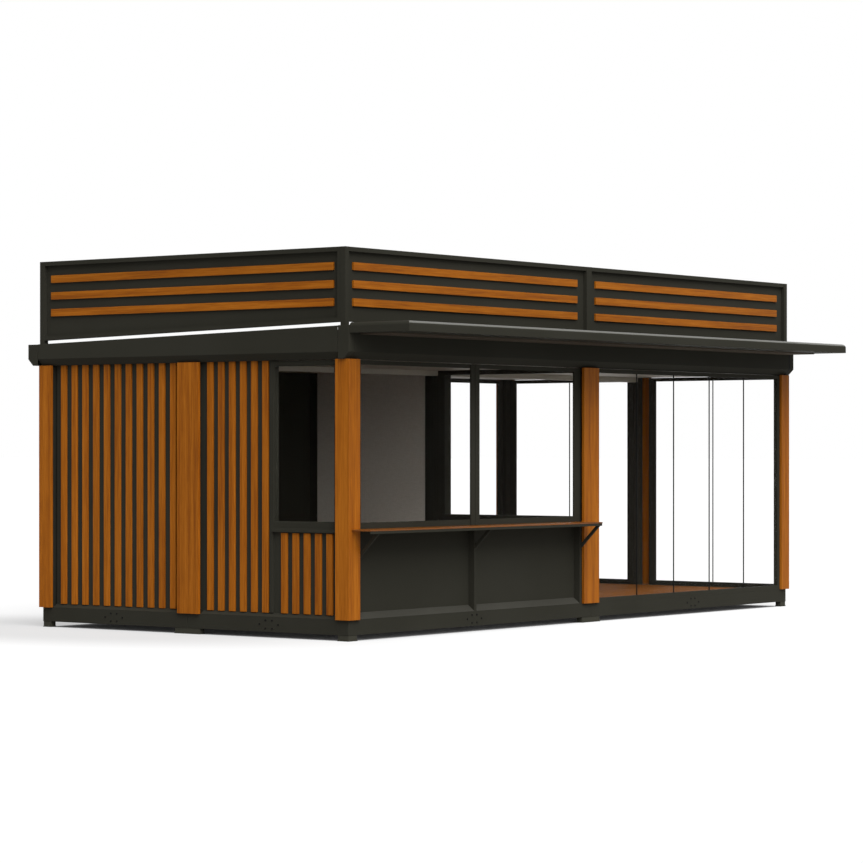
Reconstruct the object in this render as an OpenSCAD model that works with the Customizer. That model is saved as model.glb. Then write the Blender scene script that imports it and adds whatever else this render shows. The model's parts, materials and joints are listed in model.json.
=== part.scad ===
// Prefabricated pavilion of four steel-framed modules, two wide and two deep.
// A kitchen with a serving counter stands on the left and a glazed room on the right.
// Millimetres, +Z up. The origin is under the centre foot, and the counter side faces -Y.

/* [Plan] */
// Length over the wood-clad posts
plan_length = 8000; // [7600:50:8400]
// Depth over the wood-clad posts
plan_depth = 4000; // [3800:50:4200]
// Underside of the fascia above the ground
eave_height = 2625; // [2550:25:2700]
// Top of the parapet above the ground
total_height = 3668; // [3600:4:3760]

/* [Base] */
// Height of the levelling feet
foot_height = 55; // [45:5:80]
// Width of the square foot at the front left corner
foot_width = 135; // [110:5:160]
// Height of the base beams with their feet
base_height = 197; // [185:1:215]
// Thickness of the floor boards
floor_thickness = 27; // [20:1:35]

/* [Posts and cladding] */
// Thickness of the wood cladding on the posts
cladding = 30; // [20:1:35]
// Width of the cladding round a corner post
corner_clad = 168; // [150:2:190]
// Width of the cladding over a middle post
mid_clad = 274; // [260:2:320]
// Side of the steel tubes at the four corners
corner_tube = 100; // [80:5:120]
// Width of each tube where two modules meet
module_tube = 61; // [50:1:80]

/* [Walls] */
// Distance from the cladding's face back to the wall panels
panel_inset = 85; // [75:5:100]
// Thickness of the insulated wall panels
panel_thickness = 70; // [50:5:80]
// Thickness of the kitchen's lined back wall
back_thickness = 175; // [120:5:200]
// Width of a vertical batten
batten_width = 74; // [60:1:80]
// Distance a batten stands off its panel
batten_depth = 20; // [15:1:40]
// Thickness of the wall between the two rooms
partition_thickness = 100; // [80:5:120]
// Top of the low wall between the two rooms
low_wall_top = 1090; // [900:10:1200]

/* [Windows and counter] */
// Top of the counter board
counter_height = 1040; // [1000:5:1060]
// Lower edge of the glass above the counter
window_sill = 1098; // [1090:1:1150]
// Upper edge of the glass in every opening
window_head = 2578; // [2500:5:2580]
// Reach of the counter in front of the cladding
counter_reach = 225; // [180:5:300]
// Thickness of the counter board
counter_thickness = 14; // [12:1:24]
// Width of the post between the two serving windows
mullion_width = 140; // [80:5:160]
// Number of frameless glass leaves in the long front bay
leaf_count = 5; // [4:1:6]
// Thickness of the glass
glass_thickness = 10; // [8:1:20]

/* [Roof and canopy] */
// Height of the fascia at the front
fascia_height = 312; // [280:2:330]
// Fall of the roof from front to back
roof_fall = 98; // [60:1:110]
// Bevel along the lower edge of the fascia
fascia_bevel = 65; // [40:1:75]
// Reach of the canopy in front of the cladding
canopy_reach = 720; // [600:10:800]
// Thickness of the canopy
canopy_thickness = 97; // [80:1:110]

/* [Parapet] */
// Open gap between the fascia and the parapet
parapet_gap = 35; // [25:1:45]
// Height of the parapet's horizontal battens
parapet_batten = 74; // [60:1:80]
// Spacing of the parapet's horizontal battens
batten_rows = 168; // [150:1:180]

/* [Hidden] */

// Outer faces of the cladding
left = -plan_length / 2;
right = plan_length / 2;
front = -plan_depth / 2;
back = plan_depth / 2;

// Colours
wood = "#A3611F";
steel = "#37362F";
panel_grey = "#5A5850";
pale = "#C9C3B6";
glass = "#BFD0D0";

// Shared steel sizes
module_gap = 6;
beam_joint = 3;
beam_depth = 120;
beam_wall = 10;
centre_beam = 50;
beam_drop = 55;
column = module_gap / 2 + module_tube;

// The joints between the modules stand a little off the middle
joint_x = 32;
joint_y = 34;

// Where the bays between the posts begin and end
bay_x0 = mid_clad / 2;
bay_x1 = plan_length / 2 - corner_clad;
bay_y0 = mid_clad / 2;
bay_y1 = plan_depth / 2 - corner_clad;

// Height of the sheet sills at the foot of the walls
front_sill = 62;
left_sill = 36;
counter_inset = 105;

// Window frames: their planes measured back from the cladding's face
frame_out = 60;
frame_in = 80;
head_top = eave_height - 5;

// Frames of the glazed room stand flush behind the cladding
bar = 45;
bar_depth = 50;
lap = 7;

// Eaves: how far the fascia stands out over the cladding on each side
eave_front = 20;
eave_back = 120;
eave_left = 30;
eave_right = 60;
fascia_depth = 130;
fascia_skin = 6;

fascia_top = eave_height + fascia_height;
roof_slope = roof_fall / plan_depth;

// Height of the fascia's top edge at a distance behind the cladding's front face
function roof_z(y) = fascia_top - (y - front) * roof_slope;

// Draws a block between two corners
module block(low, high) {
    translate(low)
        cube([high.x - low.x, high.y - low.y, high.z - low.z]);
}

// Extrudes along X an outline of points (distance behind the front face, height)
module along_front(x0, x1) {
    translate([x0, front, 0])
        rotate([90, 0, 90])
            linear_extrude(x1 - x0)
                children();
}

// Extrudes along Y an outline of points (distance inside the left face, height)
module along_left(y0, y1) {
    translate([left, y1, 0])
        rotate([90, 0, 0])
            linear_extrude(y1 - y0)
                children();
}

// Draws its children again at the back
module to_back() {
    mirror([0, 1, 0])
        children();
}

module to_right() {
    mirror([1, 0, 0])
        children();
}

// ---- Feet, base frame and floor ----

// Nine levelling feet: long ones where two modules meet
module feet() {
    square_foot = foot_width;
    end = 110;
    slim = 75;
    long = 330;
    x1 = plan_length / 2 - cladding;
    y1 = plan_depth / 2 - cladding;
    color(steel) {
        foot(-x1 + square_foot / 2, -y1 + square_foot / 2, square_foot, square_foot);
        foot(x1 - end / 2, -y1 + slim / 2, end, slim);
        for (s = [-1, 1]) {
            foot(s * (x1 - slim / 2), y1 - end / 2, slim, end);
            foot(s * (x1 - slim / 2), joint_y, slim, long);
            foot(joint_x, s * (y1 - slim / 2), long, slim);
        }
        foot(joint_x, joint_y, long, slim);
    }
}

// One foot: a base plate under a slightly smaller block
module foot(x, y, w, d) {
    plate = 10;
    step = 4;
    block([x - w / 2, y - d / 2, 0], [x + w / 2, y + d / 2, plate]);
    block([x - w / 2 + step, y - d / 2 + step, plate],
        [x + w / 2 - step, y + d / 2 - step, foot_height]);
}

// Channel section of a base beam, with its web outwards
module channel() {
    o = cladding;
    difference() {
        translate([o, foot_height])
            square([beam_depth, base_height - foot_height]);
        translate([o + beam_wall, foot_height + beam_wall])
            square([beam_depth, base_height - foot_height - 2 * beam_wall]);
    }
}

// One length of beam for each module, closed at the corners
module base_front() {
    x1 = plan_length / 2 - cladding;
    x0 = x1 - beam_depth;
    y0 = front + cladding;
    color(steel) {
        along_front(-x0, joint_x - beam_joint / 2)
            channel();
        along_front(joint_x + beam_joint / 2, x0)
            channel();
        for (s = [0, 1])
            mirror([s, 0, 0])
                block([x0, y0, foot_height], [x1, y0 + beam_depth, base_height]);
    }
}

module base_back() {
    to_back()
        base_front();
}

// The side beams run between the front and back beams
module base_left() {
    end = plan_depth / 2 - cladding - beam_depth;
    color(steel) {
        along_left(-end, joint_y - beam_joint / 2)
            channel();
        along_left(joint_y + beam_joint / 2, end)
            channel();
    }
}

module base_right() {
    to_right()
        base_left();
}

// Twin beams where the modules meet, crosswise and lengthwise
module base_centre() {
    inner_x = plan_length / 2 - cladding - beam_depth;
    inner_y = plan_depth / 2 - cladding - beam_depth;
    g = module_gap / 2;
    t = g + centre_beam;
    top = base_height - floor_thickness;
    color(steel)
        for (s = [-1, 1]) {
            cross = joint_x + s * (g + t) / 2;
            long = joint_y + s * (g + t) / 2;
            half = centre_beam / 2;
            block([cross - half, -inner_y, foot_height], [cross + half, inner_y, top]);
            block([-inner_x, long - half, foot_height], [joint_x - t, long + half, top]);
            block([joint_x + t, long - half, foot_height], [inner_x, long + half, top]);
        }
}

// Joists under the boards, four in each module
module floor_joists() {
    width = 60;
    height = 90;
    count = 4;
    top = base_height - floor_thickness;
    pitch = (plan_length / 2) / (count + 1);
    t = module_gap / 2 + centre_beam;
    y1 = plan_depth / 2 - cladding - beam_wall;
    color(steel)
        for (s = [-1, 1])
            for (k = [1:count]) {
                x = s * k * pitch;
                block([x - width / 2, joint_y + t, top - height], [x + width / 2, y1, top]);
                block([x - width / 2, -y1, top - height], [x + width / 2, joint_y - t, top]);
            }
}

// Wood floors of the two rooms, between the beams' flanges
module floor_boards() {
    inner_x = plan_length / 2 - cladding - beam_depth;
    inner_y = plan_depth / 2 - cladding - beam_depth;
    z0 = base_height - floor_thickness;
    color(wood) {
        block([-inner_x, -inner_y, z0], [joint_x - beam_joint / 2, inner_y, base_height]);
        block([joint_x + beam_joint / 2, -inner_y, z0], [inner_x, inner_y, base_height]);
    }
}

// ---- Posts ----

// Steel tubes at the four corners
module corner_posts() {
    color(steel)
        for (sx = [0, 1])
            for (sy = [0, 1])
                mirror([sx, 0, 0])
                    mirror([0, sy, 0])
                        translate([left + cladding, front + cladding, base_height])
                            cube([corner_tube, corner_tube, eave_height - base_height]);
}

// Pairs of steel tubes about halfway along each side
module mid_posts() {
    g = module_gap / 2;
    y0 = front + cladding;
    x0 = left + cladding;
    color(steel)
        for (s = [-1, 1]) {
            x = joint_x + s * (g + column) / 2;
            y = joint_y + s * (g + column) / 2;
            half = module_tube / 2;
            for (m = [0, 1]) {
                mirror([0, m, 0])
                    block([x - half, y0, base_height], [x + half, y0 + corner_tube, eave_height]);
                mirror([m, 0, 0])
                    block([x0, y - half, base_height], [x0 + corner_tube, y + half, eave_height]);
            }
        }
}

// Four tubes where the four modules meet, with twin beams across both rooms
module centre_column() {
    g = module_gap / 2;
    foot_z = eave_height - beam_drop;
    x1 = plan_length / 2 - cladding - corner_tube;
    color(steel) {
        translate([joint_x, joint_y, 0])
            for (sx = [0, 1])
                for (sy = [0, 1])
                    mirror([sx, 0, 0])
                        mirror([0, sy, 0])
                            block([g, g, base_height], [column, column, eave_height]);
        for (y = [joint_y - column, joint_y + g]) {
            block([-x1, y, foot_z], [joint_x - column, y + module_tube, eave_height]);
            block([joint_x + column, y, foot_z], [x1, y + module_tube, eave_height]);
        }
    }
}

// Wood boards wrapped round the corner posts
module cladding_corners() {
    color(wood)
        for (sx = [0, 1])
            for (sy = [0, 1])
                mirror([sx, 0, 0])
                    mirror([0, sy, 0])
                        corner_board();
}

module corner_board() {
    translate([left, front, base_height])
        linear_extrude(eave_height - base_height)
            difference() {
                square(corner_clad);
                translate([cladding, cladding])
                    square(corner_clad);
            }
}

// Wood boards over the middle post of each side
module cladding_mid() {
    half = mid_clad / 2;
    color(wood)
        for (m = [0, 1]) {
            mirror([0, m, 0])
                block([-half, front, base_height], [half, front + cladding, eave_height]);
            mirror([m, 0, 0])
                block([left, -half, base_height], [left + cladding, half, eave_height]);
        }
}

// ---- Walls ----

// Section of a sloping sheet sill from the beam's edge up to the panel
module sill_section(rise, inset) {
    top = base_height + rise;
    polygon([[cladding, base_height], [inset, base_height], [inset, top],
        [cladding, base_height + 4]]);
}

// Rear bay of the left wall with its sill
module left_wall_rear() {
    color(steel) {
        block([left + panel_inset, joint_y + column, base_height],
            [left + panel_inset + panel_thickness, bay_y1, eave_height]);
        along_left(bay_y0, bay_y1)
            sill_section(left_sill, panel_inset);
    }
}

// The window takes the front end of the left wall's front bay
window_y = -980;
stud = 42;
batten_foot = base_height + left_sill + 2;

module left_wall_front() {
    x0 = left + panel_inset;
    x1 = x0 + panel_thickness;
    y0 = window_y - stud;
    color(steel) {
        block([x0, y0, base_height], [x1, joint_y - column, eave_height]);
        block([x0, -bay_y1, base_height], [x1, y0, counter_height]);
        block([x0 - batten_depth, y0, batten_foot], [x0, window_y, eave_height]);
        along_left(-bay_y1, -bay_y0)
            sill_section(left_sill, panel_inset);
    }
}

// One run of vertical battens, the last one ending at y1
module batten_run(y1, pitch, count, top) {
    x0 = left + panel_inset - batten_depth;
    for (k = [0:count - 1])
        block([x0, y1 - k * pitch - batten_width, batten_foot],
            [x0 + batten_depth, y1 - k * pitch, top]);
}

module left_battens() {
    color(wood) {
        batten_run(bay_y1 - 74, 147, 11, eave_height);
        batten_run(-bay_y0 - 55, 139, 6, eave_height);
        batten_run(window_y - stud - 100, 138, 5, counter_height - 45);
    }
}

// Window frame of the left wall: outer frame, slim sash and a stepped sill
win_stile = 10;
win_hidden = 60;
win_sash = 9;
win_depth = 78;

module left_window_frame() {
    x0 = left + panel_inset - batten_depth;
    x1 = x0 + win_depth;
    y0 = -bay_y1;
    y1 = window_y - stud;
    lip = left + panel_inset;
    color(steel) {
        difference() {
            block([x0, y0, counter_height], [x1, y1, head_top]);
            block([x0 - 1, y0 + win_hidden, window_sill], [x1 + 1, y1 - win_stile, window_head]);
        }
        difference() {
            block([x0 + 8, y0 + win_hidden, window_sill], [x0 + 28, y1 - win_stile, window_head]);
            block([x0, y0 + win_hidden + win_sash, window_sill + win_sash],
                [x0 + 50, y1 - win_stile - win_sash, window_head - win_sash]);
        }
        block([x0 - 18, y0, counter_height - 38], [lip, y1, counter_height - 12]);
        block([x0 - 10, y0, counter_height - 12], [lip, y1, counter_height]);
    }
}

module left_window_glass() {
    x = left + panel_inset - batten_depth + 13;
    y0 = -bay_y1 + win_hidden + win_sash;
    y1 = window_y - stud - win_stile - win_sash;
    color(glass, 0.35)
        block([x, y0, window_sill + win_sash], [x + glass_thickness, y1, window_head - win_sash]);
}

// Low wall under the serving windows, with its three studs and its sill
stud_half = 18;
stud_xs = [-bay_x1 + stud_half + 3, (-bay_x1 - bay_x0) / 2, -bay_x0 - stud_half - 3];

module counter_wall() {
    y0 = front + counter_inset;
    x1 = joint_x - column;
    color(steel) {
        block([-bay_x1, y0, base_height], [x1, y0 + panel_thickness, counter_height]);
        for (x = stud_xs)
            block([x - stud_half, front + cladding, base_height],
                [x + stud_half, y0, counter_height - counter_thickness]);
        along_front(-bay_x1, -bay_x0)
            sill_section(front_sill, counter_inset);
    }
}

// Slim frame with two serving windows and a grooved plate over its middle post
jamb = 85;
jamb_right = 97;
mullion_x = (-bay_x1 - bay_x0) / 2 + 20;
mullion_proud = 15;

module serving_window_frame() {
    y0 = front + frame_out;
    y1 = front + frame_in;
    half = mullion_width / 2;
    slot = 8;
    color(steel) {
        difference() {
            block([-bay_x1, y0, counter_height], [joint_x - column, y1, head_top]);
            block([-bay_x1 + jamb, y0 - 1, window_sill],
                [-bay_x0 - jamb_right, y1 + 1, window_head]);
        }
        difference() {
            block([mullion_x - half, y0 - mullion_proud, counter_height],
                [mullion_x + half, y0 + 3, head_top]);
            block([mullion_x - slot / 2, y0 - mullion_proud - 1, counter_height - 1],
                [mullion_x + slot / 2, y0 - mullion_proud + 9, head_top + 1]);
        }
    }
}

// Two panes that meet behind the middle post
module serving_window_glass() {
    joint = 4;
    y = front + frame_out + 5;
    y1 = y + glass_thickness;
    color(glass, 0.35) {
        block([-bay_x1 + jamb, y, window_sill], [mullion_x - joint / 2, y1, window_head]);
        block([mullion_x + joint / 2, y, window_sill],
            [-bay_x0 - jamb_right, y1, window_head]);
    }
}

// ---- Counter ----

counter_x0 = left + 36;
counter_x1 = -mid_clad / 2 + 4;

// Board notched round the posts' cladding
module counter_board() {
    z0 = counter_height - counter_thickness;
    color(wood)
        translate([0, 0, z0])
            linear_extrude(counter_thickness)
                union() {
                    translate([counter_x0, front - counter_reach])
                        square([counter_x1 - counter_x0, counter_reach]);
                    translate([-bay_x1, front - 1])
                        square([bay_x1 - bay_x0, counter_inset + 1]);
                }
}

// Steel angle under the board's front edge on three struts
module counter_brackets() {
    z0 = counter_height - counter_thickness;
    lip = 25;
    sheet = 4;
    y0 = front - counter_reach + 3;
    color(steel) {
        block([counter_x0 + 3, y0, z0 - lip], [counter_x1 - 3, y0 + sheet, z0]);
        block([counter_x0 + 3, y0 + sheet, z0 - sheet], [counter_x1 - 3, y0 + 60, z0]);
        for (k = [0:2])
            strut(stud_xs[k], k == 1 ? 170 : counter_reach - 10);
    }
}

// Flat diagonal bar from a stud of the wall up to a rail under the board
module strut(x, reach) {
    thick = 20;
    width = 45;
    rail = 6;
    end = 14;
    z1 = counter_height - counter_thickness - 4;
    z0 = z1 - end - reach - cladding;
    translate([x - thick / 2, front, 0])
        rotate([90, 0, 90])
            linear_extrude(thick)
                polygon([[-reach, z1], [cladding, z1], [cladding, z1 - rail],
                    [end + width - cladding + 8 - reach, z1 - rail], [cladding, z0 + width],
                    [cladding, z0], [-reach, z1 - end]]);
}

// ---- Glazing ----

track = 46;
sill_bar = 53;
glazing_plane = cladding + 5;

// Rails and jambs of the long front bay of the right room
module front_glazing_frame() {
    y0 = front + cladding;
    y1 = y0 + bar_depth;
    z1 = window_head;
    x1 = bay_x1 + corner_clad - cladding - corner_tube;
    color(steel) {
        block([bay_x0 - lap, y0, base_height], [x1, y1, base_height + track]);
        block([bay_x0 - lap, y0, z1], [x1, y1, head_top]);
        block([bay_x0 - lap, y0, base_height + track], [bay_x0 + bar, y1, z1]);
        block([bay_x1 - bar, y0, base_height + track], [x1, y1, z1]);
    }
}

// Frameless leaves, all closed, with a narrow joint between them
module front_glass() {
    joint = 4;
    x0 = bay_x0 + bar;
    leaf = (bay_x1 - bar - x0) / leaf_count;
    y = front + glazing_plane;
    color(glass, 0.35)
        for (k = [0:leaf_count - 1])
            block([x0 + k * leaf + joint / 2, y, base_height + track],
                [x0 + (k + 1) * leaf - joint / 2, y + glass_thickness, window_head]);
}

// One frame of the right wall between y0 and y1, with its two jambs' widths
module side_frame(y0, y1, jamb0, jamb1) {
    x1 = right - cladding;
    x0 = x1 - side_depth;
    color(steel)
        difference() {
            block([x0, y0, base_height], [x1, y1, head_top]);
            block([x0 - 1, y0 + jamb0, base_height + sill_bar], [x1 + 1, y1 - jamb1, window_head]);
        }
}

// Right wall: one frame in each module
side_end = plan_depth / 2 - cladding - corner_tube;
side_jamb = side_end - bay_y1 + 38;
front_jamb = side_end - bay_y1 + 9;
side_wide = 86 + lap;
side_slim = 36 + lap;
side_depth = 20;
side_joint = 1005;

module right_glazing_frames() {
    side_frame(-side_end, -bay_y0 + lap, front_jamb, side_wide);
    side_frame(bay_y0 - lap, side_end, side_slim, side_jamb + 7);
}

// Two panes in each frame
module right_glass() {
    side_panes(-side_end + front_jamb, -bay_y0 + lap - side_wide, -side_joint);
    side_panes(bay_y0 - lap + side_slim, side_end - side_jamb - 7, side_joint);
}

module side_panes(y0, y1, mid) {
    joint = 4;
    x = right - glazing_plane - glass_thickness;
    color(glass, 0.35) {
        block([x, y0, base_height + sill_bar], [x + glass_thickness, mid - joint / 2, window_head]);
        block([x, mid + joint / 2, base_height + sill_bar], [x + glass_thickness, y1, window_head]);
    }
}

// Back of the right room: one frame with three wide panes
module back_glazing_frame() {
    y1 = back - cladding;
    y0 = y1 - bar_depth;
    x1 = plan_length / 2 - cladding - corner_tube;
    color(steel)
        difference() {
            block([bay_x0 - lap, y0, base_height], [x1, y1, head_top]);
            block([bay_x0 + bar, y0 - 1, base_height + sill_bar], [bay_x1 - 20, y1 + 1, window_head]);
        }
}

module back_glass() {
    joint = 4;
    panes = 3;
    x0 = bay_x0 + bar;
    pane = (bay_x1 - 20 - x0) / panes;
    y = back - glazing_plane - glass_thickness;
    color(glass, 0.35)
        for (k = [0:panes - 1])
            block([x0 + k * pane + joint / 2, y, base_height + sill_bar],
                [x0 + (k + 1) * pane - joint / 2, y + glass_thickness, window_head]);
}

// Closed back wall of the kitchen
module back_wall() {
    y1 = back - panel_inset;
    color(steel) {
        block([-bay_x1 + 1, y1 - back_thickness, base_height],
            [joint_x - column, y1, eave_height]);
        to_back()
            along_front(-bay_x1, -bay_x0)
                sill_section(left_sill, panel_inset);
    }
}

module back_battens() {
    count = 24;
    edge = 74;
    pitch = (bay_x1 - bay_x0 - 2 * edge - batten_width) / (count - 1);
    y1 = back - panel_inset + batten_depth;
    color(wood)
        for (k = [0:count - 1]) {
            x = -bay_x1 + edge + k * pitch;
            block([x, y1 - batten_depth, batten_foot], [x + batten_width, y1, eave_height]);
        }
}

// ---- Between the rooms ----

t_wall = partition_thickness / 2;
wall_end = plan_depth / 2 - cladding - corner_tube;
rear_stile = 46;
back_stile = 227;
low_stile = 88;
cap = 30;

// Dark stiles, rails and the low wall's capping bar
module partition_frame() {
    t = t_wall + 8;
    x0 = joint_x - t;
    x1 = joint_x + t;
    y0 = joint_y - column;
    y1 = joint_y + column;
    color(steel) {
        block([x0, y1, base_height], [x1, y1 + rear_stile, eave_height]);
        block([x0, wall_end - back_stile, base_height], [x1, wall_end, eave_height]);
        block([x0, -wall_end, low_wall_top - cap], [x1, y0, low_wall_top]);
        block([x0, y0 - low_stile, low_wall_top], [x1, y0, window_head]);
        block([x0, -wall_end, window_head], [x1, y0, eave_height]);
    }
}

// Closed panel across the rear half, up to the ceiling
module partition_wall() {
    color(panel_grey)
        block([joint_x - t_wall, joint_y + column + rear_stile, base_height],
            [joint_x + t_wall, wall_end - back_stile, eave_height]);
}

// Low panel across the front half
module low_wall() {
    color(panel_grey)
        block([joint_x - t_wall, -wall_end, base_height],
            [joint_x + t_wall, joint_y - column, low_wall_top - cap]);
}

// ---- Roof ----

// A ceiling board in each room
module ceiling() {
    t = 15;
    inner_x = plan_length / 2 + min(eave_left, eave_right) - fascia_depth;
    inner_y = plan_depth / 2 + eave_front - fascia_depth;
    color(pale)
        for (s = [0, 1])
            mirror([s, 0, 0])
                block([module_gap / 2, -inner_y, eave_height], [inner_x, inner_y, eave_height + t]);
}

// Sloping roof panel inside the fascia, falling to the back
module roof_deck() {
    t = 80;
    y0 = front - eave_front + fascia_depth;
    y1 = back + eave_back - fascia_depth;
    drop = 30;
    color(panel_grey)
        translate([left - eave_left + fascia_depth, 0, 0])
            rotate([90, 0, 90])
                linear_extrude(plan_length + eave_left + eave_right - 2 * fascia_depth)
                    polygon([[y0, roof_z(y0) - drop - t], [y1, roof_z(y1) - drop - t],
                        [y1, roof_z(y1) - drop], [y0, roof_z(y0) - drop]]);
}

// Folded section of a fascia: bevelled at the foot and open to the inside
module fascia_section(top) {
    s = fascia_skin;
    b = fascia_bevel;
    d = fascia_depth;
    difference() {
        polygon([[0, eave_height + b], [b, eave_height], [d, eave_height], [d, top], [0, top]]);
        polygon([[s, eave_height + b + s * 0.4], [b + s * 0.4, eave_height + s],
            [d + 1, eave_height + s], [d + 1, top - s], [s, top - s]]);
    }
}

// Outer shape of the same section, for the end plates
module fascia_end(top) {
    b = fascia_bevel;
    polygon([[0, eave_height + b], [b, eave_height], [fascia_depth, eave_height],
        [fascia_depth, top], [0, top]]);
}

// One run along X with its closed corner pieces, parted by narrow grooves
fascia_corner = 92;
groove = 4;

module fascia_run(offset, top) {
    x0 = left - eave_left;
    x1 = right + eave_right;
    s = fascia_skin;
    translate([0, -offset, 0]) {
        along_front(x0 + fascia_corner + groove, x1 - fascia_corner - groove)
            fascia_section(top);
        along_front(x0 + s, x0 + fascia_corner)
            fascia_section(top);
        along_front(x0, x0 + s)
            fascia_end(top);
        along_front(x1 - fascia_corner, x1 - s)
            fascia_section(top);
        along_front(x1 - s, x1)
            fascia_end(top);
    }
}

module fascia_front() {
    color(steel)
        fascia_run(eave_front, fascia_top);
}

module fascia_back() {
    color(steel)
        to_back()
            fascia_run(eave_back, roof_z(back + eave_back - fascia_depth / 2));
}

// Side fascias fit between the front and back ones and follow the slope
module fascia_sides() {
    y0 = front - eave_front + fascia_depth + groove;
    y1 = back + eave_back - fascia_depth - groove;
    color(steel) {
        translate([-eave_left, 0, 0])
            side_fascia(y0, y1);
        to_right()
            translate([-eave_right, 0, 0])
                side_fascia(y0, y1);
    }
}

module side_fascia(y0, y1) {
    s = fascia_skin;
    difference() {
        along_left(y0, y1)
            fascia_section(fascia_top + s);
        above_roof(y0, y1, 0);
    }
    difference() {
        along_left(y0, y1)
            translate([s, eave_height + fascia_bevel + s])
                square([fascia_depth - s, fascia_height]);
        above_roof(y0, y1, 0);
        below_roof(y0, y1, s);
    }
}

// Wedge over the sloping top edge
module above_roof(y0, y1, lower) {
    translate([left - 1, 0, 0])
        rotate([90, 0, 90])
            linear_extrude(fascia_depth + 2)
                polygon([[y0 - 1, roof_z(y0 - 1) - lower], [y1 + 1, roof_z(y1 + 1) - lower],
                    [y1 + 1, total_height], [y0 - 1, total_height]]);
}

// Wedge under the sloping top flange
module below_roof(y0, y1, lower) {
    translate([left - 1, 0, 0])
        rotate([90, 0, 90])
            linear_extrude(fascia_depth + 2)
                polygon([[y0 - 1, 0], [y1 + 1, 0], [y1 + 1, roof_z(y1 + 1) - lower],
                    [y0 - 1, roof_z(y0 - 1) - lower]]);
}

// Canopy over the counter: a rounded tray with a flat soffit sheet under it
canopy_x = plan_length / 2 + 20;
canopy_z = fascia_top + 25;
canopy_edge = 38;
canopy_sheet = 5;

module canopy() {
    z0 = canopy_z - canopy_thickness;
    s = canopy_sheet;
    color(steel) {
        difference() {
            canopy_shape(0, z0);
            canopy_shape(s, z0 - 1);
        }
        block([-canopy_x + s, front - canopy_reach + s, z0],
            [canopy_x - s, front - eave_front - s, z0 + s]);
    }
}

// Slab with its upper edges rounded at the front and at both ends, shrunk by an inset
module canopy_shape(inset, z0) {
    r = canopy_edge - inset;
    reach = canopy_reach - eave_front;
    intersection() {
        translate([-canopy_x + inset, front - eave_front, 0])
            rotate([90, 0, 90])
                linear_extrude(2 * canopy_x - 2 * inset)
                    rounded_front(reach, r, inset, z0);
        translate([0, front - eave_front - inset, 0])
            rotate([90, 0, 0])
                linear_extrude(reach - 2 * inset)
                    rounded_ends(r, inset, z0);
    }
}

module rounded_front(reach, r, inset, z0) {
    z1 = canopy_z - inset;
    translate([-reach + inset, z0])
        square([reach - 2 * inset, z1 - r - z0]);
    translate([-reach + inset + r, z0])
        square([reach - 2 * inset - r, z1 - z0]);
    translate([-reach + inset + r, z1 - r])
        circle(r, $fn = 48);
}

module rounded_ends(r, inset, z0) {
    z1 = canopy_z - inset;
    w = canopy_x - inset;
    translate([-w, z0])
        square([2 * w, z1 - r - z0]);
    translate([-w + r, z0])
        square([2 * w - 2 * r, z1 - z0]);
    for (s = [-1, 1])
        translate([s * (w - r), z1 - r])
            circle(r, $fn = 48);
}

// ---- Parapet ----

post = 58;
rail = 42;
parapet_front_y = front + 45;
parapet_back_y = back - 15;
screen_back = 44;
screen_sheet = 12;
batten_front = 22;

// Lower edge of the parapet at a depth y
function parapet_z(y) = roof_z(y) + parapet_gap;

batten_gap = 132;
mid_x0 = -25;
mid_x1 = 67;
parapet_end = 25;
x_post = plan_length / 2 - post;

// Front screen: three posts with a recessed panel between each two
module parapet_front() {
    y0 = parapet_front_y;
    color(steel) {
        for (x = [left, x_post + parapet_end])
            block([x, y0, roof_z(y0 + post)], [x + post, y0 + post, total_height]);
        block([mid_x0, y0, roof_z(y0 + post)], [mid_x1, y0 + post, total_height]);
        front_screen(-x_post, mid_x0);
        front_screen(mid_x1, x_post + parapet_end);
    }
}

module front_screen(x0, x1) {
    y0 = parapet_front_y;
    z0 = parapet_z(front);
    block([x0, y0 + 4, z0], [x1, y0 + post, z0 + rail]);
    block([x0, y0 + 4, total_height - rail], [x1, y0 + post, total_height]);
    block([x0, y0 + screen_back, z0 + rail],
        [x1, y0 + screen_back + screen_sheet, total_height - rail]);
}

// Foot of a horizontal batten, counted from the top
function batten_z(k) = total_height - 140 - parapet_batten - k * batten_rows;

// Side screens: one framed panel each, cut to the roof's slope
module parapet_sides() {
    side_screen();
    to_right()
        translate([-parapet_end, 0, 0])
            side_screen();
}

module side_screen() {
    x0 = left;
    y0 = parapet_front_y + post;
    y1 = parapet_back_y - post;
    color(steel) {
        block([x0, y1, roof_z(y1)], [x0 + post, parapet_back_y, total_height]);
        difference() {
            upright_sheet(x0 + 4, x0 + post, y0, y1, 0);
            upright_sheet(x0, x0 + screen_back, y0 + rail, y1 + 1, rail);
            upright_sheet(x0 + screen_back + screen_sheet, x0 + post + 1, y0 + rail, y1 + 1, rail);
        }
    }
}

// Three horizontal battens on each panel
module parapet_battens() {
    near = parapet_front_y + post + rail + 65;
    far = parapet_back_y - batten_gap;
    color(wood)
        for (k = [0:2]) {
            front_batten(left + 153, mid_x0 - 136, batten_z(k));
            front_batten(mid_x1 + 109, x_post + parapet_end - batten_gap, batten_z(k));
            side_batten(near, far, batten_z(k));
            to_right()
                translate([-parapet_end, 0, 0])
                    side_batten(near, far, batten_z(k));
        }
}

module front_batten(x0, x1, z) {
    y = parapet_front_y;
    block([x0, y + batten_front, z], [x1, y + screen_back, z + parapet_batten]);
}

module side_batten(y0, y1, z) {
    block([left + batten_front, y0, z], [left + screen_back, y1, z + parapet_batten]);
}

// Upright sheet in a side screen's plane, its lower edge raised by an inset
module upright_sheet(x0, x1, y0, y1, inset) {
    translate([x0, 0, 0])
        rotate([90, 0, 90])
            linear_extrude(x1 - x0)
                polygon([[y0, parapet_z(y0) + inset], [y1, parapet_z(y1) + inset],
                    [y1, total_height - inset], [y0, total_height - inset]]);
}

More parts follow.
